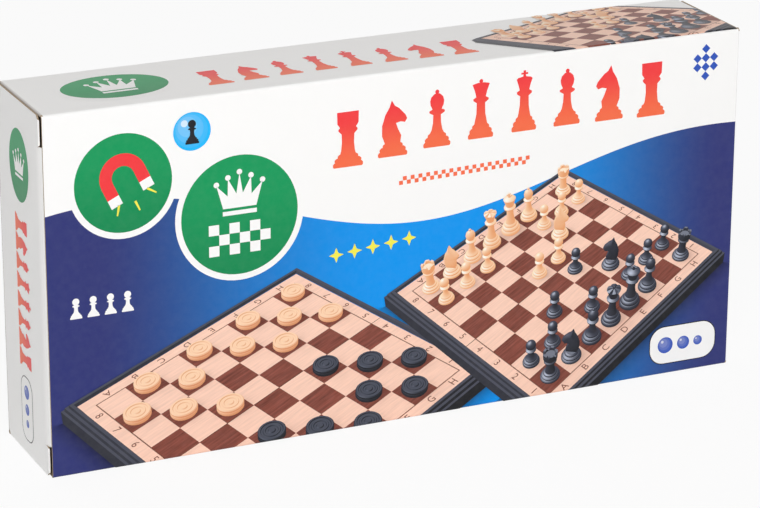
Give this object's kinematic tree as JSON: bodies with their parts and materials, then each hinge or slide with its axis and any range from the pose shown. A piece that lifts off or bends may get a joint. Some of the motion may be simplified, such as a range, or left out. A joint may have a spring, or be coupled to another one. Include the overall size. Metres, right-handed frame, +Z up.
{
  "type": "boxed magnetic chess and checkers set",
  "caption": "Printed paperboard tuck-end carton on its long side with hinged end flaps, holding a folding magnetic chess and checkers board case and its men.",
  "frame": {"origin": "centre of the carton's base, the long narrow panel that it stands on", "axes": "+X along the carton to its right end, -Y out of the printed front panel, +Z up"},
  "size_m": [0.266, 0.045, 0.13],
  "materials": {
    "printed_card": "satin",
    "case_plastic": "satin",
    "plate_steel": "satin",
    "playing_sheet": "satin",
    "foam": "matte",
    "ivory_plastic": "satin",
    "black_plastic": "satin",
    "magnet": "matte"
  },
  "bodies": {
    "carton": {"carton_sleeve": "printed_card", "case_base_tray": "case_plastic", "case_lid_tray": "case_plastic", "case_clasps": "case_plastic", "base_steel_plate": "plate_steel", "lid_steel_plate": "plate_steel", "case_hinge_pins": "plate_steel", "base_playing_sheet": "playing_sheet", "lid_playing_sheet": "playing_sheet", "men_cradle": "foam", "lid_pad": "foam", "chess_magnets": "magnet", "draughts_magnets": "magnet", "ivory_pawns": "ivory_plastic", "ivory_rooks": "ivory_plastic", "ivory_knights": "ivory_plastic", "ivory_bishops": "ivory_plastic", "ivory_queen": "ivory_plastic", "ivory_king": "ivory_plastic", "ivory_draughtsmen": "ivory_plastic", "black_pawns": "black_plastic", "black_rooks": "black_plastic", "black_knights": "black_plastic", "black_bishops": "black_plastic", "black_queen": "black_plastic", "black_king": "black_plastic", "black_draughtsmen": "black_plastic"},
    "left_closure": {"left_closure_panel": "printed_card"},
    "left_tuck": {"left_tuck_flap": "printed_card"},
    "left_top_dust": {"left_top_dust_flap": "printed_card"},
    "left_bottom_dust": {"left_bottom_dust_flap": "printed_card"},
    "right_closure": {"right_closure_panel": "printed_card"},
    "right_tuck": {"right_tuck_flap": "printed_card"},
    "right_top_dust": {"right_top_dust_flap": "printed_card"},
    "right_bottom_dust": {"right_bottom_dust_flap": "printed_card"}
  },
  "joints": [
    {"name": "left_closure_open", "type": "hinge", "parent": "carton", "child": "left_closure", "pos_m": [-0.133, 0.0225, 0.065], "axis": [0, 0, -1], "range_deg": [0, 180]},
    {"name": "left_tuck_fold", "type": "hinge", "parent": "left_closure", "child": "left_tuck", "pos_m": [-0.13106, -0.02106, 0.065], "axis": [0, 0, 1], "range_deg": [0, 72]},
    {"name": "left_top_dust_fold", "type": "hinge", "parent": "carton", "child": "left_top_dust", "pos_m": [-0.1323, 0, 0.13], "axis": [0, 1, 0], "range_deg": [0, 90]},
    {"name": "left_bottom_dust_fold", "type": "hinge", "parent": "carton", "child": "left_bottom_dust", "pos_m": [-0.1323, 0, 0], "axis": [0, -1, 0], "range_deg": [0, 90]},
    {"name": "right_closure_open", "type": "hinge", "parent": "carton", "child": "right_closure", "pos_m": [0.133, -0.0225, 0.065], "axis": [0, 0, -1], "range_deg": [0, 180]},
    {"name": "right_tuck_fold", "type": "hinge", "parent": "right_closure", "child": "right_tuck", "pos_m": [0.13106, 0.02106, 0.065], "axis": [0, 0, 1], "range_deg": [0, 72]},
    {"name": "right_top_dust_fold", "type": "hinge", "parent": "carton", "child": "right_top_dust", "pos_m": [0.1323, 0, 0.13], "axis": [0, -1, 0], "range_deg": [0, 90]},
    {"name": "right_bottom_dust_fold", "type": "hinge", "parent": "carton", "child": "right_bottom_dust", "pos_m": [0.1323, 0, 0], "axis": [0, 1, 0], "range_deg": [0, 90]}
  ],
  "couplings": [
    {"joint": "left_tuck_fold", "follows": "left_closure_open", "ratio": 0.4},
    {"joint": "left_top_dust_fold", "follows": "left_closure_open", "ratio": 0.5},
    {"joint": "left_bottom_dust_fold", "follows": "left_closure_open", "ratio": 0.5},
    {"joint": "right_tuck_fold", "follows": "right_closure_open", "ratio": 0.4},
    {"joint": "right_top_dust_fold", "follows": "right_closure_open", "ratio": 0.5},
    {"joint": "right_bottom_dust_fold", "follows": "right_closure_open", "ratio": 0.5}
  ]
}
